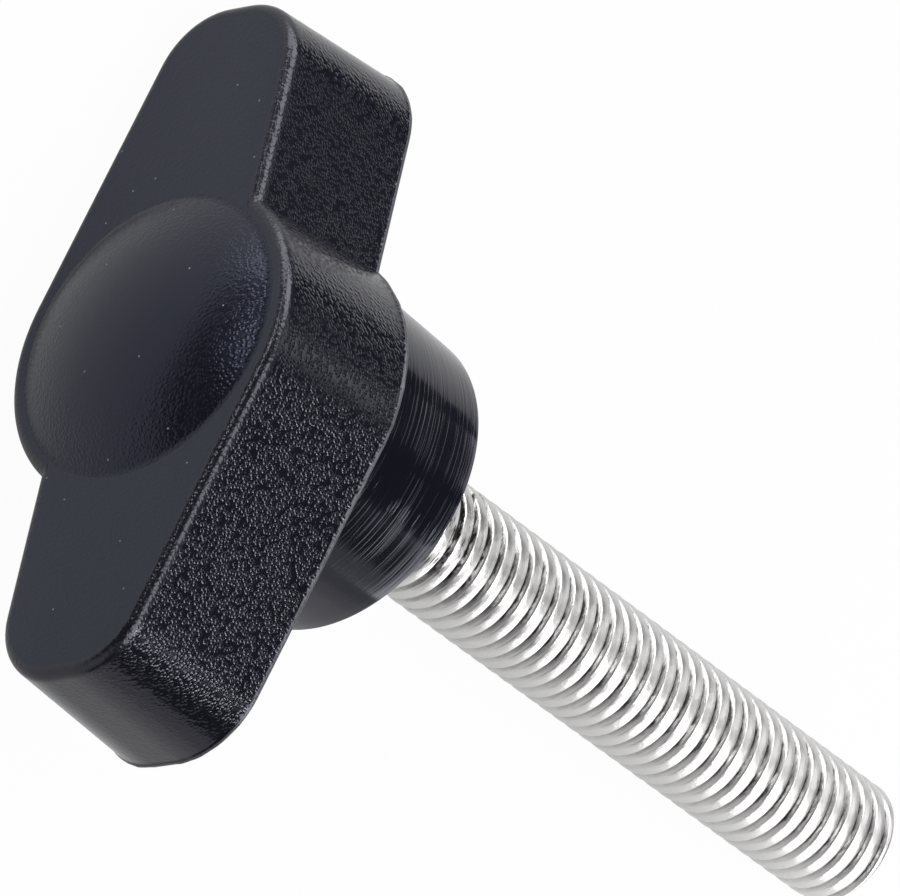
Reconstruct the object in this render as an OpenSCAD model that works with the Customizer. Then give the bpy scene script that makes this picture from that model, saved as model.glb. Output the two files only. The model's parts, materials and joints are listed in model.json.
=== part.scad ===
// Thumb screw: a steel screw with a black S-shaped grip moulded round its head.
// It is drawn along its own axis, with the dome towards +Z and the back of the wings at z = 0,
// and then laid down the way it comes to rest: on one straight wing edge and on the screw's tip.
// All sizes are in millimetres. The wings and the hub are measured at their back, where the mould parts.

/* [Grip] */
// Overall length across both wings
grip_len = 27; // [22:0.1:40]
// Height of the wings, from their back to the flat face
grip_h = 6.3; // [5:0.1:12]
// Diameter of the hub
hub_d = 13.05; // [12:0.05:18]
// Distance from the axis to the straight edge that ends in the notch
notch_edge = 4.05; // [2.5:0.05:5]
// Angle between the wing's long axis and the edge that runs off the hub in a tangent
wing_taper = 18.8; // [12:0.1:24]
// Corner radius at the wing's end, on the side of the tangent edge
tangent_corner_r = 3.25; // [1.5:0.05:4]
// Corner radius at the wing's end, on the side of the notch
notch_corner_r = 3.05; // [1.5:0.05:3.8]
// Draft of the side walls, in degrees
wall_draft = 3.75; // [1:0.25:5]
// Radius of the fillet between the side walls and the face
face_fillet_r = 0.3; // [0.1:0.05:0.8]

/* [Dome] */
// Width of the flat rim on the face, from the edge of the hub to the dome's blend
dome_rim = 0.6; // [0.4:0.05:2]
// Height of the dome above the face
dome_h = 1.35; // [0.8:0.05:2.5]
// Radius of the hollow blend round the dome's foot
dome_blend_r = 0.6; // [0.2:0.1:1]

/* [Boss] */
// Step from the edge of the hub in to the root of the boss
boss_step = 0.4; // [0.1:0.05:2]
// Length of the boss, from the back of the wings to its seat
boss_len = 5; // [2:0.1:12]
// Draft of the boss, in degrees
boss_draft = 2.8; // [0:0.1:4]
// Radius of the edge round the seat
seat_edge_r = 0.15; // [0.05:0.05:0.5]

/* [Screw] */
// Diameter over the crests of the M5 thread
screw_d = 4.9; // [4:0.05:6]
// Length of the thread that stands out of the boss
screw_len = 30; // [12:0.5:60]
// Length over which the thread runs out into the neck, inside the boss
thread_runout = 0.8; // [0.2:0.1:2]
// Diameter of the plain neck between the thread and the head
neck_d = 4.5; // [3:0.05:4.9]
// Size of the chamfer at the tip
tip_chamfer = 0.25; // [0.1:0.05:0.6]
// Width across the flats of the hexagon head inside the grip
head_flats = 8; // [7:0.1:9]
// Height of the hexagon head
head_h = 3.5; // [2:0.1:4.5]

/* [Hidden] */

// Steps in an arc of a revolved profile, and round a post of the hulls
arc_steps = 8;
dome_steps = 16;
post_sides = 64;

hub_r = hub_d / 2;
boss_root_r = hub_r - boss_step;
boss_r = boss_root_r - boss_len * tan(boss_draft);
dome_foot_r = hub_r - grip_h * tan(wall_draft) - dome_rim;
screw_r = screw_d / 2;
tip_z = -boss_len - screw_len;
tip_r = screw_r - tip_chamfer;

// Direction of the tangent edge's outward normal, in the plan of the grip
tangent_normal = [sin(wing_taper), cos(wing_taper)];

// Three posts give a wing its plan. The root post touches the hub from inside, where the tangent edge leaves it
root_r = (notch_edge + hub_r * cos(wing_taper)) / (1 + cos(wing_taper));
root_at = (hub_r - root_r) * tangent_normal;
tangent_corner_x = grip_len / 2 - tangent_corner_r;
tangent_corner_at = [
    tangent_corner_x,
    (hub_r - tangent_corner_r - tangent_corner_x * sin(wing_taper)) / cos(wing_taper)
];
notch_corner_at = [grip_len / 2 - notch_corner_r, notch_corner_r - notch_edge];

// Ball that the dome is cut from, and the slope where the blend meets it
dome_ball_r = (dome_foot_r ^ 2 + dome_h ^ 2 - 2 * dome_blend_r * dome_h) / (2 * dome_h);
dome_ball_z = grip_h + dome_h - dome_ball_r;
dome_slope = asin(dome_foot_r / (dome_ball_r + dome_blend_r));

// How the screw lies: the tilt of its axis, the height of the axis at z = 0, and its place along X
tip_edge_z = tip_z + tip_chamfer;
lie_tilt = max(
    atan((hub_r - screw_r) / -tip_edge_z),
    atan((boss_r - screw_r) / (-tip_edge_z - boss_len))
);
lie_height = max(hub_r * cos(lie_tilt), boss_r * cos(lie_tilt) + boss_len * sin(lie_tilt));
tip_reach = tip_r * sin(lie_tilt) - tip_z * cos(lie_tilt);
dome_reach = dome_ball_z * cos(lie_tilt) + dome_ball_r;

// Points on an arc, from angle a to angle b
function arc(centre, r, a, b, steps) =
    [for (i = [0 : steps]) let (t = a + (b - a) * i / steps) centre + r * [cos(t), sin(t)]];

// A drafted post of the grip's full height, with the fillet at its top. Its radius is r at the back
module post(r) {
    wall_x = r - (grip_h - face_fillet_r) * tan(wall_draft);
    centre = [wall_x - face_fillet_r / cos(wall_draft), grip_h - face_fillet_r];
    rotate_extrude($fn = post_sides)
        polygon(concat(
            [[0, 0], [r, 0]],
            arc(centre, face_fillet_r, wall_draft, 90, arc_steps),
            [[0, grip_h]]
        ));
}

// One wing, towards +X
module wing() {
    hull() {
        translate(root_at) post(root_r);
        translate(tangent_corner_at) post(tangent_corner_r);
        translate(notch_corner_at) post(notch_corner_r);
    }
}

// The dome on the face, with its hollow blend. It reaches down into the hub
module dome() {
    blend_at = [dome_foot_r, grip_h + dome_blend_r];
    rotate_extrude($fn = post_sides)
        polygon(concat(
            [[0, grip_h / 2], [dome_foot_r, grip_h / 2]],
            arc(blend_at, dome_blend_r, -90, -90 - dome_slope, arc_steps),
            arc([0, dome_ball_z], dome_ball_r, 90 - dome_slope, 90, dome_steps)
        ));
}

// The round boss behind the wings. Its end is the seat. It reaches up into the hub
module boss() {
    edge_at = [boss_r - seat_edge_r, -boss_len + seat_edge_r];
    rotate_extrude($fn = post_sides)
        polygon(concat(
            [[0, -boss_len]],
            arc(edge_at, seat_edge_r, -90, -boss_draft, arc_steps),
            [[boss_root_r, 0], [boss_root_r, grip_h / 2], [0, grip_h / 2]]
        ));
}

// The steel screw: its tip, its thread's crests, its neck and its hexagon head. The grip's pocket is the same solid
module screw_blank() {
    neck_r = neck_d / 2;
    rotate_extrude($fn = post_sides)
        polygon([
            [0, tip_z], [tip_r, tip_z], [screw_r, tip_edge_z], [screw_r, -boss_len],
            [neck_r, -boss_len + thread_runout], [neck_r, head_h / 2], [0, head_h / 2]
        ]);
    cylinder(d = head_flats / cos(30), h = head_h, $fn = 6);
}

// Lays the screw down: the tangent edge goes under the axis, the tip towards +X, and the axis tips down to it
module laid_down() {
    translate([(dome_reach - tip_reach) / 2, 0, lie_height])
        rotate([0, lie_tilt, 0])
            rotate([-90, 0, 0])
                rotate([0, -90, 0])
                    rotate([0, 0, wing_taper])
                        children();
}

module grip() {
    color("#26282c")
        laid_down()
            difference() {
                union() {
                    post(hub_r);
                    wing();
                    rotate([0, 0, 180]) wing();
                    dome();
                    boss();
                }
                screw_blank();
            }
}

module screw() {
    color("#c9cacb")
        laid_down() screw_blank();
}

grip();
screw();
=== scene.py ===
"""A thumb screw, lying on a white floor: a black moulded grip on a long M5 screw of bright steel.

The grip and the screw are drawn in the screw's own frame, with the dome towards +Z and the back of the
wings at z = 0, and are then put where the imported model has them.
"""

import json
import math

import bmesh
import bpy
from bpy.props import FloatProperty, FloatVectorProperty, PointerProperty
from mathutils import Matrix, Quaternion, Vector, noise


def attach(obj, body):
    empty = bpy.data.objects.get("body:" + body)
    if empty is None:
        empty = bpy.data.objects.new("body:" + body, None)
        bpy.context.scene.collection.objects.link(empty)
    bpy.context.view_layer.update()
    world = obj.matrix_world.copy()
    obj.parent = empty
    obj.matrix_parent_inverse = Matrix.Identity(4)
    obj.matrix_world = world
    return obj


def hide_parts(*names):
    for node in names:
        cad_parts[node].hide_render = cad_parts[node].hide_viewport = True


bl_info = {
    "name": "Thumb Screw",
    "version": (1, 0, 0),
    "blender": (4, 5, 0),
    "location": "View3D > Sidebar > Thumb Screw",
    "description": "Builds a thumb screw with a moulded grip, its floor, lamps and camera",
    "category": "Add Mesh",
}

MM = 0.001

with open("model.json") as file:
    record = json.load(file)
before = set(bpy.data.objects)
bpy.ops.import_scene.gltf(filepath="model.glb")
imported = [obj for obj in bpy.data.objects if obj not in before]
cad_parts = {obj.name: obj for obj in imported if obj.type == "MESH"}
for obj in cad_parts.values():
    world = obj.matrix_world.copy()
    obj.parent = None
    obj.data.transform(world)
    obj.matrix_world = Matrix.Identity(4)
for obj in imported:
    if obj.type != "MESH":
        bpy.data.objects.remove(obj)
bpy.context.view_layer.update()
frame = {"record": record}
mounts = {mount["name"]: mount for mount in frame["record"]["mounts"]}


def millimetres(name, description, default, low=0.0):
    """A length property. Its default and its lower limit are given in millimetres."""
    return FloatProperty(
        name=name,
        description=description,
        default=default * MM,
        min=low * MM,
        unit="LENGTH",
        precision=5,
    )


def degrees(name, description, default):
    """An angle property, with its default in degrees."""
    return FloatProperty(
        name=name,
        description=description,
        default=math.radians(default),
        subtype="ANGLE",
    )


def colour(name, description, default):
    """A colour property, as linear red, green and blue."""
    return FloatVectorProperty(
        name=name,
        description=description,
        default=default,
        size=3,
        min=0.0,
        max=1.0,
        subtype="COLOR",
    )


class GripSizes(bpy.types.PropertyGroup):
    """Sizes and finish of the moulded grip. The wings and the hub are measured at their back."""

    length: millimetres("Length", "Overall length across both wings", 27.0)
    height: millimetres("Height", "From the back of the wings to the flat face", 6.3)
    hub_diameter: millimetres("Hub", "Diameter of the hub", 13.05)
    notch_edge: millimetres("Notch edge", "From the axis to the edge that ends in the notch", 4.05)
    wing_taper: degrees("Taper", "Between the wing's long axis and its tangent edge", 18.8)
    tangent_corner: millimetres("Tangent corner", "Corner radius beside the tangent edge", 3.25)
    notch_corner: millimetres("Notch corner", "Corner radius beside the notch edge", 3.05)
    wall_draft: degrees("Wall draft", "Draft of the side walls", 3.75)
    face_fillet: millimetres("Face fillet", "Fillet between the side walls and the face", 0.4)
    flash: millimetres("Flash", "How far the moulding flash stands out along the back edge", 0.07)
    dome_rim: millimetres("Dome rim", "Flat rim between the hub's edge and the dome's blend", 0.6)
    dome_height: millimetres("Dome height", "Height of the dome above the face", 1.35)
    dome_blend: millimetres("Dome blend", "Radius of the hollow blend round the dome's foot", 0.6)
    boss_step: millimetres("Boss step", "Step from the hub's edge in to the root of the boss", 0.4)
    boss_length: millimetres("Boss length", "From the back of the wings to the seat", 5.0)
    boss_draft: degrees("Boss draft", "Draft of the boss", 2.8)
    seat_edge: millimetres("Seat edge", "Radius of the edge round the seat", 0.15)
    plastic: colour("Plastic", "Colour of the moulded plastic", (0.005, 0.005, 0.009))


class ScrewSizes(bpy.types.PropertyGroup):
    """Sizes and finish of the steel screw."""

    crest_diameter: millimetres("Crest diameter", "Diameter over the crests of the thread", 4.9)
    pitch: millimetres("Pitch", "Distance between two turns of the thread", 0.8, 0.2)
    crest_width: millimetres("Crest width", "Width of the thread's crowned crests", 0.42)
    crest_edge: millimetres("Crest edge", "Radius between the crests and the flanks", 0.1)
    length: millimetres("Length", "Thread that stands out of the boss", 30.0)
    chamfer: millimetres("Chamfer", "Chamfer at the tip", 0.45)
    steel: colour("Steel", "Colour of the bright steel", (0.65, 0.643, 0.64))


class StudioSettings(bpy.types.PropertyGroup):
    """The camera's place round the object, and the floor."""

    azimuth: degrees("Azimuth", "Heading of the camera's look, from +X towards +Y", 18.749)
    elevation: degrees("Elevation", "How steeply the camera looks down", 53.199)
    roll: degrees("Roll", "Turn of the camera about its own line of sight", 101.432)
    distance: millimetres("Distance", "From the camera to the point that it looks at", 451.43)
    focal_length: FloatProperty(
        name="Focal length",
        description="Focal length in millimetres, on a sensor 36 mm wide",
        default=516.92,
        min=10.0,
    )
    floor_size: millimetres("Floor", "Width of the floor", 2000.0)
    floor_edge: millimetres("Floor edge", "From the middle to the floor's edge on the dome's side", 80.0)
    floor_colour: colour("Floor colour", "Colour of the floor", (0.52, 0.52, 0.52))


# Placement


def screw_placement(grip):
    """The matrix from the screw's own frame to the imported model's, found from the model's mounts."""
    to_tip = Vector(mounts["thread"]["axis"]).normalized()
    on_axis = Vector(mounts["thread"]["pos_m"])
    on_seat = Vector(mounts["seat"]["pos_m"])
    seat_centre = on_axis + to_tip * (on_seat - on_axis).dot(to_tip)
    origin = seat_centre - to_tip * grip.boss_length
    across = Vector((0.0, 1.0, 0.0))
    above = to_tip.cross(across)
    wing = across * math.cos(grip.wing_taper) - above * math.sin(grip.wing_taper)
    dome = -to_tip
    columns = Matrix((wing, dome.cross(wing), dome)).transposed()
    return Matrix.Translation(origin) @ columns.to_4x4()


def finish_piece(name, mesh, materials, cad_node, grip):
    """Links the mesh as a piece that rides with the model and stands for its CAD node."""
    for material in materials:
        mesh.materials.append(material)
    mesh.transform(screw_placement(grip))
    piece = bpy.data.objects.new(name, mesh)
    bpy.context.scene.collection.objects.link(piece)
    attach(piece, "root")
    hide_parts(cad_node)


# Outlines and skins


# Steps along the parts of a wing's outline
TANGENT_EDGE_STEPS = 40
CORNER_STEPS = 18
NOTCH_EDGE_STEPS = 24
HUB_STEPS = 44


def arc(centre, radius, start, end, steps):
    """Points on an arc of a circle, from the angle start to the angle end."""
    angles = [start + (end - start) * step / steps for step in range(steps + 1)]
    return [centre + Vector((math.cos(angle), math.sin(angle))) * radius for angle in angles]


def straight(start, end, steps):
    """Points between start and end, with neither of them."""
    return [start.lerp(end, step / steps) for step in range(1, steps)]


def wing_half(grip, inset):
    """Half of the grip's plan, moved in by inset: one wing and the hub's arc up to the other wing."""
    taper = grip.wing_taper
    hub = grip.hub_diameter / 2
    normal = Vector((math.sin(taper), math.cos(taper)))
    tangent_x = grip.length / 2 - grip.tangent_corner
    tangent_y = (hub - grip.tangent_corner - tangent_x * normal.x) / normal.y
    tangent_centre = Vector((tangent_x, tangent_y))
    notch_centre = Vector((grip.length / 2 - grip.notch_corner, grip.notch_corner - grip.notch_edge))
    hub -= inset
    edge = grip.notch_edge - inset
    quarter = math.pi / 2
    leaves_hub = normal * hub
    tangent_corner = arc(tangent_centre, grip.tangent_corner - inset, quarter - taper, 0.0, CORNER_STEPS)
    notch_corner = arc(notch_centre, grip.notch_corner - inset, 0.0, -quarter, CORNER_STEPS)
    notch = Vector((math.sqrt(hub * hub - edge * edge), -edge))
    notch_angle = math.atan2(notch.y, notch.x)
    hub_arc = arc(Vector((0.0, 0.0)), hub, notch_angle, -quarter - taper, HUB_STEPS)
    points = [leaves_hub]
    points += straight(leaves_hub, tangent_corner[0], TANGENT_EDGE_STEPS)
    points += tangent_corner + notch_corner
    points += straight(notch_corner[-1], notch, NOTCH_EDGE_STEPS)
    return points + hub_arc[:-1]


def plan(grip, inset):
    """The grip's whole plan, moved in by inset. The second wing is the first one, turned half round."""
    half = wing_half(grip, inset)
    return half + [-point for point in half]


def ring(bm, points, z):
    """A closed ring of vertices at one height."""
    return [bm.verts.new((point.x, point.y, z)) for point in points]


def skin(bm, first, second, slot):
    """A band of faces between two rings."""
    count = len(first)
    for here in range(count):
        after = (here + 1) % count
        face = bm.faces.new((first[here], first[after], second[after], second[here]))
        face.material_index = slot


def close(bm, last, z, slot):
    """Faces from a ring to a point on the axis."""
    middle = bm.verts.new((0.0, 0.0, z))
    count = len(last)
    for here in range(count):
        face = bm.faces.new((last[here], last[(here + 1) % count], middle))
        face.material_index = slot


def smooth_mesh(bm, name, sharp_angle):
    """The mesh of a closed skin, smooth except where its faces meet at more than sharp_angle, in degrees."""
    bmesh.ops.recalc_face_normals(bm, faces=bm.faces)
    mesh = bpy.data.meshes.new(name)
    bm.to_mesh(mesh)
    bm.free()
    mesh.shade_smooth()
    mesh.set_sharp_from_angle(angle=math.radians(sharp_angle))
    return mesh


def circle(directions, radius):
    """A circle with one point in the direction of each point of the plan, ready to be skinned to it."""
    return [direction * radius for direction in directions]


# The grip


# Material slots of the skin, in the order of the materials that Build Grip makes
FACE, WALL, BOSS, EDGE, DOME, FILLET = range(6)

# The flash's bead: height in millimetres, and how far it stands out there, as a share of the flash
FLASH_BEAD = ((0.0, 0.2), (0.03, 0.9), (0.08, 1.0), (0.13, 0.35))
FLASH_WAVE = 0.5 * MM
FLASH_MEAN = 0.65
FLASH_SWING = 0.6
FLASH_LEAST = 0.1

# Extra rings, close to the foot and the top of the walls, keep the shading of the walls flat
WALL_FOOT = (0.18 * MM, 0.25 * MM)
WALL_TOP = 0.06 * MM
WALL_STEPS = 10
FILLET_STEPS = 8

DOME_BLEND_STEPS = 8
DOME_STEPS = 30

BOSS_FILLET = 0.12 * MM
BOSS_FILLET_STEPS = 4
BOSS_STEPS = 12
SEAT_EDGE_STEPS = 6

# Radii of the rings on the seat, and the depth of the hole in it. The hole's rim lies inside the thread
SEAT_RINGS = (4.2 * MM, 2.7 * MM, 2.0 * MM)
SEAT_HOLE = 0.4 * MM


def wall_profile(grip):
    """Two lists of (height, inset): up the side walls, and round the fillet to the face."""
    draft = grip.wall_draft
    fillet = grip.face_fillet
    top = grip.height - fillet
    heights = list(WALL_FOOT)
    heights += [top * step / WALL_STEPS for step in range(1, WALL_STEPS)]
    heights.append(top - WALL_TOP)
    walls = [(height, height * math.tan(draft)) for height in heights]
    centre = Vector((top, top * math.tan(draft) + fillet / math.cos(draft)))
    return walls, arc(centre, fillet, draft - math.pi / 2, 0.0, FILLET_STEPS)


def flash_rings(bm, grip):
    """The moulding flash along the back edge: a thin, uneven bead that stands out of the wall."""
    rings = []
    for height, share in FLASH_BEAD:
        points = []
        for point in plan(grip, 0.0):
            wave = noise.noise(Vector((point.x, point.y, 0.0)) / FLASH_WAVE)
            uneven = max(FLASH_MEAN + FLASH_SWING * wave, FLASH_LEAST)
            points.append(point + point.normalized() * grip.flash * share * uneven)
        rings.append(ring(bm, points, height * MM))
    return rings


def dome_profile(grip):
    """(radius, height) from the foot of the dome's blend to just short of the top."""
    foot = grip.hub_diameter / 2 - grip.height * math.tan(grip.wall_draft) - grip.dome_rim
    high = grip.dome_height
    blend = grip.dome_blend
    ball = (foot * foot + high * high - 2 * blend * high) / (2 * high)
    slope = math.asin(foot / (ball + blend))
    blend_centre = Vector((foot, grip.height + blend))
    ball_centre = Vector((0.0, grip.height + high - ball))
    quarter = math.pi / 2
    profile = arc(blend_centre, blend, -quarter, -quarter - slope, DOME_BLEND_STEPS)
    return profile + arc(ball_centre, ball, quarter - slope, quarter, DOME_STEPS)[1:-1]


def boss_profile(grip):
    """(radius, height) from the root of the boss down to its seat, and in to the thread."""
    root = grip.hub_diameter / 2 - grip.boss_step
    fillet = BOSS_FILLET
    draft = grip.boss_draft
    edge = grip.seat_edge
    seat = -grip.boss_length
    quarter = math.pi / 2
    profile = arc(Vector((root + fillet, -fillet)), fillet, quarter, 2 * quarter, BOSS_FILLET_STEPS)
    upper = Vector((root - fillet * math.tan(draft), -fillet))
    lower = Vector((root + (seat + edge) * math.tan(draft), seat + edge))
    profile += straight(upper, lower, BOSS_STEPS)
    edge_centre = Vector((root + seat * math.tan(draft) - edge, seat + edge))
    profile += arc(edge_centre, edge, -draft, -quarter, SEAT_EDGE_STEPS)
    profile += [(radius, seat) for radius in SEAT_RINGS]
    return profile + [(SEAT_RINGS[-1], seat + SEAT_HOLE)]


def grip_mesh(grip):
    """The whole moulding as one closed skin."""
    bm = bmesh.new()
    directions = [point.normalized() for point in plan(grip, 0.0)]
    flash = flash_rings(bm, grip)
    for lower, upper in zip(flash, flash[1:]):
        skin(bm, lower, upper, EDGE)
    walls, fillet = wall_profile(grip)
    last = flash[-1]
    for slot, heights in ((WALL, walls), (FILLET, fillet)):
        for height, inset in heights:
            current = ring(bm, plan(grip, inset), height)
            skin(bm, last, current, slot)
            last = current
    slot = FACE
    for radius, height in dome_profile(grip):
        current = ring(bm, circle(directions, radius), height)
        skin(bm, last, current, slot)
        last = current
        slot = DOME
    close(bm, last, grip.height + grip.dome_height, DOME)
    last = flash[0]
    for radius, height in boss_profile(grip):
        current = ring(bm, circle(directions, radius), height)
        skin(bm, last, current, BOSS)
        last = current
    close(bm, last, -grip.boss_length + SEAT_HOLE, BOSS)
    return smooth_mesh(bm, "moulded_grip", 40.0)


# The screw


# Angles of the thread's crowned crests and of its flanks at their steepest, and the rounding at the root
CROWN = math.radians(10.0)
FLANK = math.radians(60.0)
ROOT_ROUNDING = 0.05 * MM

# Steps round one turn of the thread
TURN_STEPS = 80

# How far the thread is drawn into the boss, and where it is cut off there
DRAWN_TO = 1.0 * MM
CUT_AT = 0.5 * MM

# How much further the tip's chamfer runs on below the tip, in the part that is cut off
CHAMFER_REST = 0.2 * MM


def turn_profile(screw):
    """(distance along the axis, radius) over one turn of the thread, from one crest's middle to the next."""
    crest = screw.crest_diameter / 2
    half_pitch = screw.pitch / 2
    outward = math.pi / 2
    crown_radius = screw.crest_width / 2 / math.sin(CROWN)
    half = arc(Vector((0.0, crest - crown_radius)), crown_radius, outward, outward - CROWN, 3)
    edge_centre = half[-1] - Vector((math.sin(CROWN), math.cos(CROWN))) * screw.crest_edge
    half += arc(edge_centre, screw.crest_edge, outward - CROWN, outward - FLANK, 4)[1:]
    top = half[-1]
    foot = half_pitch - ROOT_ROUNDING * math.sin(FLANK)
    low = top.y - (foot - top.x) * math.tan(FLANK)
    root_centre = Vector((half_pitch, low + ROOT_ROUNDING * math.cos(FLANK)))
    root = arc(root_centre, ROOT_ROUNDING, -outward - FLANK, -outward, 3)
    half += straight(top, root[0], 2) + root
    return half + [Vector((screw.pitch - point.x, point.y)) for point in reversed(half[1:-1])]


def cut_across(bm, z, keep_below):
    """Cuts the thread across at a height and closes it with a flat face."""
    side = 1.0 if keep_below else -1.0
    cut = bmesh.ops.bisect_plane(
        bm,
        geom=bm.verts[:] + bm.edges[:] + bm.faces[:],
        plane_co=(0.0, 0.0, z),
        plane_no=(0.0, 0.0, side),
        clear_outer=True,
    )
    edges = [item for item in cut["geom_cut"] if isinstance(item, bmesh.types.BMEdge)]
    bmesh.ops.contextual_create(bm, geom=edges)


def screw_mesh(screw, grip):
    """The thread as one helical skin, chamfered and cut off at the tip, and cut off inside the boss."""
    bm = bmesh.new()
    profile = turn_profile(screw)
    seat = -grip.boss_length
    tip = seat - screw.length
    top = seat + DRAWN_TO
    tip_radius = screw.crest_diameter / 2 - screw.chamfer
    turns = math.ceil((top - tip) / screw.pitch) + 2
    rows = []
    for step in range((turns + 1) * TURN_STEPS):
        angle = -2 * math.pi * step / TURN_STEPS
        start = top + screw.pitch * (1 - step / TURN_STEPS)
        row = []
        for along, radius in profile:
            z = start - along
            radius = min(radius, tip_radius + max(z - tip, -CHAMFER_REST))
            row.append(bm.verts.new((radius * math.cos(angle), radius * math.sin(angle), z)))
        rows.append(row)
    for step in range(turns * TURN_STEPS - 1):
        here = rows[step] + rows[step + TURN_STEPS][:1]
        after = rows[step + 1] + rows[step + TURN_STEPS + 1][:1]
        for place in range(len(profile)):
            bm.faces.new((here[place], after[place], after[place + 1], here[place + 1]))
    cut_across(bm, seat + CUT_AT, True)
    cut_across(bm, tip, False)
    return smooth_mesh(bm, "steel_screw", 50.0)


# Materials


# Tints of the plastic's gloss: on the face, the dome, the boss and the side walls
SATIN_TINT = (0.68, 0.75, 1.0, 1.0)
DOME_TINT = (0.52, 0.57, 0.8, 1.0)
BOSS_TINT = (0.55, 0.56, 0.7, 1.0)
GLOSS_TINT = (0.86, 0.87, 1.0, 1.0)

PLASTIC_IOR = 1.54
DUST_COLOUR = (0.24, 0.24, 0.27, 1.0)
# A lighter grey than the rest of the plastic, which makes the flash show as a pale line along the back edge
FLASH_COLOUR = (0.06, 0.06, 0.066, 1.0)
# The colour of the painted shade in the steel's grooves
GROOVE_SHADE_COLOUR = (0.035, 0.033, 0.033, 1.0)

# Specks of dust to the millimetre, and how far from a speck's middle it is gone and full, in cells
DUST_SCALE = 0.33
DUST_FADE = (0.015, 0.005)

# The squared distance from the middle of a cell at which the grain's bump ends
GRAIN_END = 0.34

# Distances from the axis, in millimetres, where the grain is least and full: out at the wings' ends, and in
# at the top of the dome
WING_END_FADE = (13.3, 12.3)
DOME_TOP_FADE = (2.0, 5.0)

# What is left of the grain at the wings' ends, and the depth of the finer waves in it, as shares of its depth
WING_END_GRAIN = 0.2
FINE_SHARE = 0.35

# Patches to the millimetre, and how far the roughness varies between them
PATCHES = 0.8
PATCH_SPREAD = 0.04

# Turned marks on the boss, and the groups that they come in: features to the millimetre on each axis
MARKS = (0.06, 0.06, 7.0)
MARK_GROUPS = (0.3, 0.3, 0.7)

# Places along X, in millimetres, where the marks are worn and where they are whole, and what the wear leaves
WORN_SIDE = (-5.0, -4.2)
WORN_MARKS = 0.2

# Noise that frays the edge of the painted shade in the steel's grooves: features to the millimetre on each
# axis. The fine scuffs in the steel's roughness are drawn out in the same way
RAGGED_SHADE = (0.6, 0.6, 3.5)
FINE_SCUFFS = (1.0, 1.0, 2.5)
STEEL_ROUGHNESS = (0.22, 0.44)

# Painted shade in the steel's grooves, in millimetres: distances from the seat where it is thin and thick,
# depths below the crests where it starts and is full, and distances from the tip where it starts and is full
GROOVE_SHADE_REACH = (7.0, 0.5)
GROOVE_SHADE_DEPTH = (0.1, 0.24)
GROOVE_SHADE_FROM_TIP = (0.1, 0.6)

# Places along X, in millimetres, where the painted groove shade is thinned and where it is whole, and what is
# left of it: a painted lighter side
LIGHTER_SIDE = (-2.15, -1.6)
LIGHTER_SIDE_SHADE = 0.25


def new_material(name):
    """A material with an empty node tree, its shader and its output."""
    material = bpy.data.materials.new(name)
    material.use_nodes = True
    tree = material.node_tree
    tree.nodes.clear()
    shader = tree.nodes.new("ShaderNodeBsdfPrincipled")
    output = tree.nodes.new("ShaderNodeOutputMaterial")
    tree.links.new(shader.outputs["BSDF"], output.inputs["Surface"])
    return material, tree, shader


def own_coordinates(tree, grip, stretch=(1.0, 1.0, 1.0)):
    """Coordinates in the screw's own frame, in millimetres, stretched on each axis."""
    back = screw_placement(grip).inverted()
    source = tree.nodes.new("ShaderNodeTexCoord")
    turned = tree.nodes.new("ShaderNodeMapping")
    turned.inputs["Location"].default_value = back.translation / MM
    turned.inputs["Rotation"].default_value = back.to_euler()
    turned.inputs["Scale"].default_value = [1.0 / MM] * 3
    stretched = tree.nodes.new("ShaderNodeMapping")
    stretched.inputs["Scale"].default_value = stretch
    tree.links.new(source.outputs["Object"], turned.inputs["Vector"])
    tree.links.new(turned.outputs["Vector"], stretched.inputs["Vector"])
    return stretched.outputs["Vector"]


def noise_field(tree, vector, scale, detail=2.0, roughness=0.5):
    """A noise from 0 to 1, with scale features to the millimetre."""
    field = tree.nodes.new("ShaderNodeTexNoise")
    field.inputs["Scale"].default_value = scale
    field.inputs["Detail"].default_value = detail
    field.inputs["Roughness"].default_value = roughness
    tree.links.new(vector, field.inputs["Vector"])
    return field.outputs["Fac"]


def axis_distance(tree, grip):
    """The distance of each place from the screw's axis, in millimetres."""
    length = tree.nodes.new("ShaderNodeVectorMath")
    length.operation = "LENGTH"
    tree.links.new(own_coordinates(tree, grip, (1.0, 1.0, 0.0)), length.inputs[0])
    return length.outputs["Value"]


def own_places(tree, grip):
    """The places along the axes of the screw's own frame, in millimetres: outputs named X, Y and Z."""
    split = tree.nodes.new("ShaderNodeSeparateXYZ")
    tree.links.new(own_coordinates(tree, grip), split.inputs["Vector"])
    return split.outputs


def put_together(tree, operation, first, second):
    """The result of a math operation on two values."""
    node = tree.nodes.new("ShaderNodeMath")
    node.operation = operation
    tree.links.new(first, node.inputs[0])
    tree.links.new(second, node.inputs[1])
    return node.outputs[0]


def scaled(tree, value, factor):
    """The product of two values."""
    return put_together(tree, "MULTIPLY", value, factor)


def grain_field(tree, vector, size):
    """Round bumps from the pits of a spark-eroded mould, size millimetres apart."""
    cells = tree.nodes.new("ShaderNodeTexVoronoi")
    cells.inputs["Scale"].default_value = 1.0 / size
    tree.links.new(vector, cells.inputs["Vector"])
    distance = cells.outputs["Distance"]
    cap = tree.nodes.new("ShaderNodeMapRange")
    cap.inputs["From Max"].default_value = GRAIN_END
    cap.inputs["To Min"].default_value = 1.0
    cap.inputs["To Max"].default_value = 0.0
    tree.links.new(scaled(tree, distance, distance), cap.inputs["Value"])
    return cap.outputs["Result"]


def remap(tree, value, low, high):
    """A value from 0 to 1, spread from low to high."""
    spread = tree.nodes.new("ShaderNodeMapRange")
    spread.inputs["To Min"].default_value = low
    spread.inputs["To Max"].default_value = high
    tree.links.new(value, spread.inputs["Value"])
    return spread.outputs["Result"]


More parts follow.
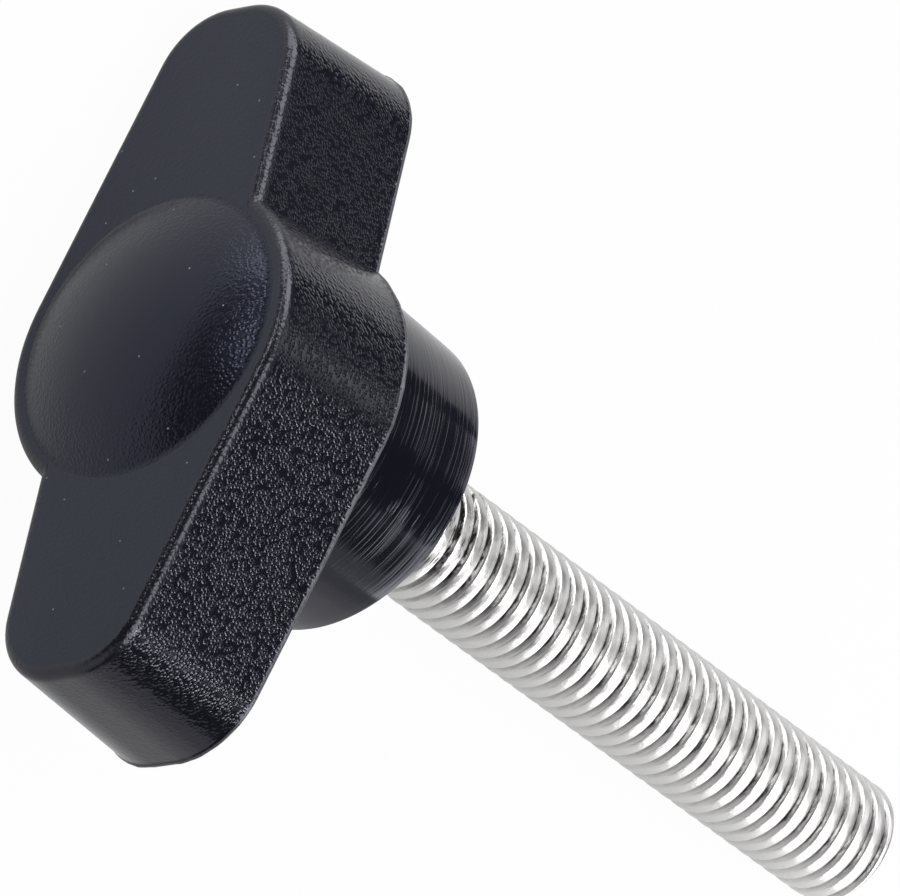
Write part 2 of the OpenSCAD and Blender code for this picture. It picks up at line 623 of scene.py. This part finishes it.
def sharpen(tree, value, low, high):
    """0 where the value is below low, 1 where it is above high, and smooth in between.

    It is the other way round where low is the larger limit.
    """
    spread = tree.nodes.new("ShaderNodeMapRange")
    spread.interpolation_type = "SMOOTHSTEP"
    spread.inputs["From Min"].default_value = low
    spread.inputs["From Max"].default_value = high
    tree.links.new(value, spread.inputs["Value"])
    return spread.outputs["Result"]


def add_bump(tree, shader, height, depth, before=None):
    """Bumps of a depth in millimetres, laid over any earlier ones."""
    bump = tree.nodes.new("ShaderNodeBump")
    bump.inputs["Distance"].default_value = depth * MM
    bump.inputs["Strength"].default_value = 1.0
    tree.links.new(height, bump.inputs["Height"])
    if before is not None:
        tree.links.new(before, bump.inputs["Normal"])
    tree.links.new(bump.outputs["Normal"], shader.inputs["Normal"])
    return bump.outputs["Normal"]


def mix_base(tree, shader, factor, first, second):
    """A base colour that goes from the first colour to the second as the factor goes from 0 to 1."""
    mix = tree.nodes.new("ShaderNodeMix")
    mix.data_type = "RGBA"
    mix.inputs["A"].default_value = first
    mix.inputs["B"].default_value = second
    tree.links.new(factor, mix.inputs["Factor"])
    tree.links.new(mix.outputs["Result"], shader.inputs["Base Color"])


def plastic_base(name, grip, tint):
    """Black moulded plastic without its texture."""
    material, tree, shader = new_material(name)
    shader.inputs["Base Color"].default_value = (*grip.plastic, 1.0)
    shader.inputs["IOR"].default_value = PLASTIC_IOR
    shader.inputs["Specular Tint"].default_value = tint
    return material, tree, shader


def add_dust(tree, shader, grip):
    """A few pale specks of dust, a few millimetres apart over the face."""
    specks = tree.nodes.new("ShaderNodeTexVoronoi")
    specks.voronoi_dimensions = "2D"
    specks.inputs["Scale"].default_value = DUST_SCALE
    tree.links.new(own_coordinates(tree, grip), specks.inputs["Vector"])
    dusty = sharpen(tree, specks.outputs["Distance"], *DUST_FADE)
    mix_base(tree, shader, dusty, (*grip.plastic, 1.0), DUST_COLOUR)


def grained_material(name, grip, size, depth, roughness, tint=SATIN_TINT, dusty=False, rubbed=1.0):
    """Plastic with the grain of a spark-eroded mould. Its cells are size millimetres apart and depth deep.

    The grain has its full depth round the hub, less at the wings' ends, and rubbed times it at the axis.
    """
    material, tree, shader = plastic_base(name, grip, tint)
    if dusty:
        add_dust(tree, shader, grip)
    vector = own_coordinates(tree, grip)
    patches = noise_field(tree, vector, PATCHES)
    uneven = remap(tree, patches, roughness - PATCH_SPREAD, roughness + PATCH_SPREAD)
    tree.links.new(uneven, shader.inputs["Roughness"])
    from_axis = axis_distance(tree, grip)
    at_ends = remap(tree, sharpen(tree, from_axis, *WING_END_FADE), WING_END_GRAIN, 1.0)
    at_top = remap(tree, sharpen(tree, from_axis, *DOME_TOP_FADE), rubbed, 1.0)
    cells = scaled(tree, grain_field(tree, vector, size), scaled(tree, at_ends, at_top))
    grain = add_bump(tree, shader, cells, depth)
    add_bump(tree, shader, noise_field(tree, vector, 2.4), depth * FINE_SHARE, grain)
    return material


def boss_material(grip):
    """The glossy boss, with the fine marks that turning left in its mould, worn away on one side."""
    material, tree, shader = plastic_base("grip_boss", grip, BOSS_TINT)
    lines = noise_field(tree, own_coordinates(tree, grip, MARKS), 1.0, 2.0, 0.6)
    groups = noise_field(tree, own_coordinates(tree, grip, MARK_GROUPS), 1.0, 1.0)
    strength = remap(tree, sharpen(tree, groups, 0.35, 0.65), 0.35, 1.0)
    worn = remap(tree, sharpen(tree, own_places(tree, grip)["X"], *WORN_SIDE), WORN_MARKS, 1.0)
    marks = scaled(tree, sharpen(tree, lines, 0.48, 0.6), scaled(tree, strength, worn))
    shader.inputs["Roughness"].default_value = 0.12
    add_bump(tree, shader, marks, depth=0.005)
    return material


def edge_material(grip):
    """The flash along the back edge."""
    material, tree, shader = plastic_base("grip_edge", grip, GLOSS_TINT)
    shader.inputs["Base Color"].default_value = FLASH_COLOUR
    shader.inputs["Roughness"].default_value = 0.3
    add_bump(tree, shader, noise_field(tree, own_coordinates(tree, grip), 6.0), depth=0.02)
    return material


def groove_shade_field(tree, screw, grip):
    """The painted shade in the grooves, from 0 to 1: most of it by the boss, and none at the tip."""
    places = own_places(tree, grip)
    seat = -grip.boss_length / MM
    tip = seat - screw.length / MM
    crest = screw.crest_diameter / 2 / MM
    # Painted shade: deep in the grooves, heaviest and most ragged by the boss, gone at the tip, and thinner
    # on one side
    near_boss = sharpen(tree, places["Z"], *[seat - distance for distance in GROOVE_SHADE_REACH])
    ragged_noise = noise_field(tree, own_coordinates(tree, grip, RAGGED_SHADE), 2.4, 4.0, 0.7)
    shift = scaled(tree, remap(tree, ragged_noise, -0.55, 0.45), remap(tree, near_boss, 0.4, 2.0))
    ragged = put_together(tree, "ADD", axis_distance(tree, grip), shift)
    in_grooves = sharpen(tree, ragged, *[crest - depth for depth in GROOVE_SHADE_DEPTH])
    off_tip = sharpen(tree, places["Z"], *[tip + distance for distance in GROOVE_SHADE_FROM_TIP])
    # Painted lighter side: the groove shade is thinned on one side of the thread
    shade_by_side = remap(tree, sharpen(tree, places["X"], *LIGHTER_SIDE), LIGHTER_SIDE_SHADE, 1.0)
    return scaled(tree, scaled(tree, in_grooves, off_tip), shade_by_side)


def steel_material(screw, grip):
    """Bright steel with scuffs, and with painted shade in its grooves."""
    material, tree, shader = new_material("bright_steel")
    shader.inputs["Metallic"].default_value = 1.0
    # Painted shade: the steel darkens to a near-black colour in its grooves
    unshaded = remap(tree, groove_shade_field(tree, screw, grip), 1.0, 0.0)
    mix_base(tree, shader, unshaded, GROOVE_SHADE_COLOUR, (*screw.steel, 1.0))
    fine = noise_field(tree, own_coordinates(tree, grip, FINE_SCUFFS), 3.0, 3.0)
    tree.links.new(remap(tree, fine, *STEEL_ROUGHNESS), shader.inputs["Roughness"])
    add_bump(tree, shader, noise_field(tree, own_coordinates(tree, grip), 5.0, 4.0, 0.65), depth=0.018)
    return material


# The studio


FLOOR_ROUGHNESS = 0.9

# The share of plain white light that each kind of ray sees on the floor
FLOOR_LIGHT = (("Is Camera Ray", 0.965), ("Is Glossy Ray", 0.27), ("Is Transmission Ray", 0.9))


def seen_light(tree, surface, shares):
    """Mixes plain white light into a surface: a share of it for each kind of ray that sees the surface."""
    rays = tree.nodes.new("ShaderNodeLightPath")
    weight = None
    for ray, share in shares:
        added = tree.nodes.new("ShaderNodeMath")
        added.operation = "MULTIPLY_ADD"
        added.inputs[1].default_value = share
        added.inputs[2].default_value = 0.0
        tree.links.new(rays.outputs[ray], added.inputs[0])
        if weight is not None:
            tree.links.new(weight, added.inputs[2])
        weight = added.outputs[0]
    light = tree.nodes.new("ShaderNodeEmission")
    light.inputs["Strength"].default_value = 1.0
    mix = tree.nodes.new("ShaderNodeMixShader")
    tree.links.new(weight, mix.inputs["Fac"])
    tree.links.new(surface, mix.inputs[1])
    tree.links.new(light.outputs["Emission"], mix.inputs[2])
    return mix.outputs["Shader"]


def build_floor(studio):
    """The white floor that the screw lies on."""
    half = studio.floor_size / 2
    near = -studio.floor_edge
    mesh = bpy.data.meshes.new("floor")
    corners = [(near, -half, 0.0), (half, -half, 0.0), (half, half, 0.0), (near, half, 0.0)]
    mesh.from_pydata(corners, [], [(0, 1, 2, 3)])
    material, tree, shader = new_material("white_floor")
    shader.inputs["Base Color"].default_value = (*studio.floor_colour, 1.0)
    shader.inputs["Roughness"].default_value = FLOOR_ROUGHNESS
    seen = seen_light(tree, shader.outputs["BSDF"], FLOOR_LIGHT)
    tree.links.new(seen, tree.nodes["Material Output"].inputs["Surface"])
    mesh.materials.append(material)
    floor = bpy.data.objects.new("floor", mesh)
    bpy.context.scene.collection.objects.link(floor)


def direction(azimuth, elevation):
    """The unit vector towards an azimuth and an elevation, in degrees."""
    heading = math.radians(azimuth)
    height = math.radians(elevation)
    level = math.cos(height)
    return Vector((math.cos(heading) * level, math.sin(heading) * level, math.sin(height)))


# Brightness of the room between its panels
ROOM_LEVEL = 0.024

# Soft light panels of the room: azimuth, elevation, and half-width where full and where gone, in degrees, and
# their brightness
PANELS = (
    (-60.0, 86.0, 13.0, 26.0, 4.6),
    (-45.0, 64.0, 6.0, 15.0, 3.0),
    (100.0, 34.0, 15.0, 27.0, 4.6),
    (-122.0, 12.0, 14.0, 42.0, 0.7),
    (46.0, 43.0, 6.0, 13.0, 1.6),
)


def build_world():
    """A dim room with soft light panels. The camera itself sees it plain white."""
    world = bpy.data.worlds.new("room")
    world.use_nodes = True
    tree = world.node_tree
    background = tree.nodes["Background"]
    source = tree.nodes.new("ShaderNodeTexCoord")
    light = None
    for azimuth, elevation, full, gone, brightness in PANELS:
        towards = tree.nodes.new("ShaderNodeVectorMath")
        towards.operation = "DOT_PRODUCT"
        towards.inputs[1].default_value = direction(azimuth, elevation)
        tree.links.new(source.outputs["Generated"], towards.inputs[0])
        panel = tree.nodes.new("ShaderNodeMapRange")
        panel.interpolation_type = "SMOOTHSTEP"
        panel.inputs["From Min"].default_value = math.cos(math.radians(gone))
        panel.inputs["From Max"].default_value = math.cos(math.radians(full))
        panel.inputs["To Min"].default_value = 0.0
        panel.inputs["To Max"].default_value = brightness
        tree.links.new(towards.outputs["Value"], panel.inputs["Value"])
        total = tree.nodes.new("ShaderNodeMath")
        total.operation = "ADD"
        tree.links.new(panel.outputs["Result"], total.inputs[0])
        if light is None:
            total.inputs[1].default_value = ROOM_LEVEL
        else:
            tree.links.new(light, total.inputs[1])
        light = total.outputs[0]
    rays = tree.nodes.new("ShaderNodeLightPath")
    mix = tree.nodes.new("ShaderNodeMix")
    mix.data_type = "FLOAT"
    mix.inputs["B"].default_value = 1.0
    tree.links.new(rays.outputs["Is Camera Ray"], mix.inputs["Factor"])
    tree.links.new(light, mix.inputs["A"])
    tree.links.new(mix.outputs["Result"], background.inputs["Color"])
    bpy.context.scene.world = world


def aim(target, azimuth, elevation, distance):
    """A place seen from the target at an azimuth and an elevation, in degrees, and the turn to look back."""
    away = direction(azimuth, elevation)
    return target + away * distance, away.to_track_quat("Z", "Y")


# Places that the lamps and the camera look at
WING_WALL = Vector((-16.2, -5.4, 12.9)) * MM
DOME_SIDE = Vector((-21.0, 1.5, 9.0)) * MM
BOSS_FRONT = Vector((-9.0, -6.0, 8.0)) * MM
SCREW_MIDDLE = Vector((6.0, -2.0, 4.0)) * MM
SCREW_FRONT = Vector((13.0, -1.0, 3.5)) * MM
CAMERA_TARGET = Vector((-8.656, 1.988, 10.512)) * MM

# Soft lamps: name, target, azimuth and elevation in degrees, distance, width and height in metres, power in
# watts, roll in degrees
LAMPS = (
    ("key_lamp", WING_WALL, -15.0, 58.0, 0.3, 0.045, 0.045, 0.13, 0.0),
    ("front_panel", BOSS_FRONT, -46.0, 10.5, 0.25, 0.22, 0.093, 0.037, 0.0),
    ("thread_strip", SCREW_MIDDLE, -28.0, 23.0, 0.05, 0.04, 0.026, 0.0112, 47.0),
    ("thread_panel", SCREW_FRONT, 5.0, 40.0, 0.04, 0.02, 0.012, 0.0014, 0.0),
    ("back_panel", DOME_SIDE, 160.0, 22.0, 0.065, 0.02, 0.014, 0.0085, 0.0),
    ("side_panel", SCREW_MIDDLE, 132.0, 3.0, 0.08, 0.05, 0.03, 0.018, 0.0),
    ("tip_panel", SCREW_MIDDLE, 38.0, 20.0, 0.065, 0.034, 0.018, 0.0032, -50.0),
)

SENSOR_WIDTH = 36.0
NEAREST = 10.0 * MM


def build_lamp(name, target, azimuth, elevation, distance, width, height, power, roll):
    """A lamp with an even, rectangular face that looks at its target, rolled about its line of sight."""
    data = bpy.data.lights.new(name, "AREA")
    data.shape = "RECTANGLE"
    data.size = width
    data.size_y = height
    data.energy = power
    lamp = bpy.data.objects.new(name, data)
    place, turn = aim(target, azimuth, elevation, distance)
    lamp.location = place
    lamp.rotation_mode = "QUATERNION"
    lamp.rotation_quaternion = turn @ Quaternion((0.0, 0.0, 1.0), math.radians(roll))
    bpy.context.scene.collection.objects.link(lamp)


def build_camera(studio):
    """The camera at the photograph's viewing angle. It stands opposite the heading of its look."""
    data = bpy.data.cameras.new("camera")
    data.sensor_fit = "HORIZONTAL"
    data.sensor_width = SENSOR_WIDTH
    data.lens = studio.focal_length
    data.clip_start = NEAREST
    camera = bpy.data.objects.new("camera", data)
    azimuth = math.degrees(studio.azimuth) + 180.0
    elevation = math.degrees(studio.elevation)
    place, turn = aim(CAMERA_TARGET, azimuth, elevation, studio.distance)
    roll = Matrix.Rotation(studio.roll, 4, "Z")
    camera.matrix_world = Matrix.Translation(place) @ turn.to_matrix().to_4x4() @ roll
    bpy.context.scene.collection.objects.link(camera)
    bpy.context.scene.camera = camera


# Operators and panel


class BuildGrip(bpy.types.Operator):
    """Builds the moulded grip and its plastic"""

    bl_idname = "thumb_screw.build_grip"
    bl_label = "Build Grip"

    def execute(self, context):
        grip = context.scene.thumb_screw_grip
        materials = [
            grained_material("grip_face", grip, size=0.15, depth=0.003, roughness=0.34, dusty=True),
            grained_material("grip_wall", grip, size=0.155, depth=0.0145, roughness=0.15, tint=GLOSS_TINT),
            boss_material(grip),
            edge_material(grip),
            grained_material(
                "grip_dome",
                grip,
                size=0.14,
                depth=0.0085,
                roughness=0.23,
                tint=DOME_TINT,
                dusty=True,
                rubbed=0.15,
            ),
            grained_material("grip_fillet", grip, size=0.145, depth=0.008, roughness=0.24, tint=GLOSS_TINT),
        ]
        finish_piece("moulded_grip", grip_mesh(grip), materials, "grip", grip)
        return {"FINISHED"}


class BuildScrew(bpy.types.Operator):
    """Builds the steel screw with its thread"""

    bl_idname = "thumb_screw.build_screw"
    bl_label = "Build Screw"

    def execute(self, context):
        grip = context.scene.thumb_screw_grip
        screw = context.scene.thumb_screw_screw
        materials = [steel_material(screw, grip)]
        finish_piece("steel_screw", screw_mesh(screw, grip), materials, "screw", grip)
        return {"FINISHED"}


class BuildStage(bpy.types.Operator):
    """Builds the floor, the room, the lamps and the camera"""

    bl_idname = "thumb_screw.build_stage"
    bl_label = "Build Stage"

    def execute(self, context):
        studio = context.scene.thumb_screw_studio
        context.scene.view_settings.view_transform = "Standard"
        build_floor(studio)
        build_world()
        for lamp in LAMPS:
            build_lamp(*lamp)
        build_camera(studio)
        return {"FINISHED"}


class ThumbScrewPanel(bpy.types.Panel):
    """The thumb screw's sizes and its build buttons"""

    bl_idname = "VIEW3D_PT_thumb_screw"
    bl_label = "Thumb Screw"
    bl_space_type = "VIEW_3D"
    bl_region_type = "UI"
    bl_category = "Thumb Screw"

    def draw(self, context):
        groups = (
            (context.scene.thumb_screw_grip, BuildGrip),
            (context.scene.thumb_screw_screw, BuildScrew),
            (context.scene.thumb_screw_studio, BuildStage),
        )
        for settings, operator in groups:
            box = self.layout.box()
            for name in settings.__annotations__:
                box.prop(settings, name)
            box.operator(operator.bl_idname)


CLASSES = (GripSizes, ScrewSizes, StudioSettings, BuildGrip, BuildScrew, BuildStage, ThumbScrewPanel)


def register():
    for item in CLASSES:
        bpy.utils.register_class(item)
    bpy.types.Scene.thumb_screw_grip = PointerProperty(type=GripSizes)
    bpy.types.Scene.thumb_screw_screw = PointerProperty(type=ScrewSizes)
    bpy.types.Scene.thumb_screw_studio = PointerProperty(type=StudioSettings)


def unregister():
    del bpy.types.Scene.thumb_screw_studio
    del bpy.types.Scene.thumb_screw_screw
    del bpy.types.Scene.thumb_screw_grip
    for item in reversed(CLASSES):
        bpy.utils.unregister_class(item)


def main():
    """Builds everything."""
    register()
    bpy.ops.thumb_screw.build_grip()
    bpy.ops.thumb_screw.build_screw()
    bpy.ops.thumb_screw.build_stage()


if __name__ == "__main__":
    main()
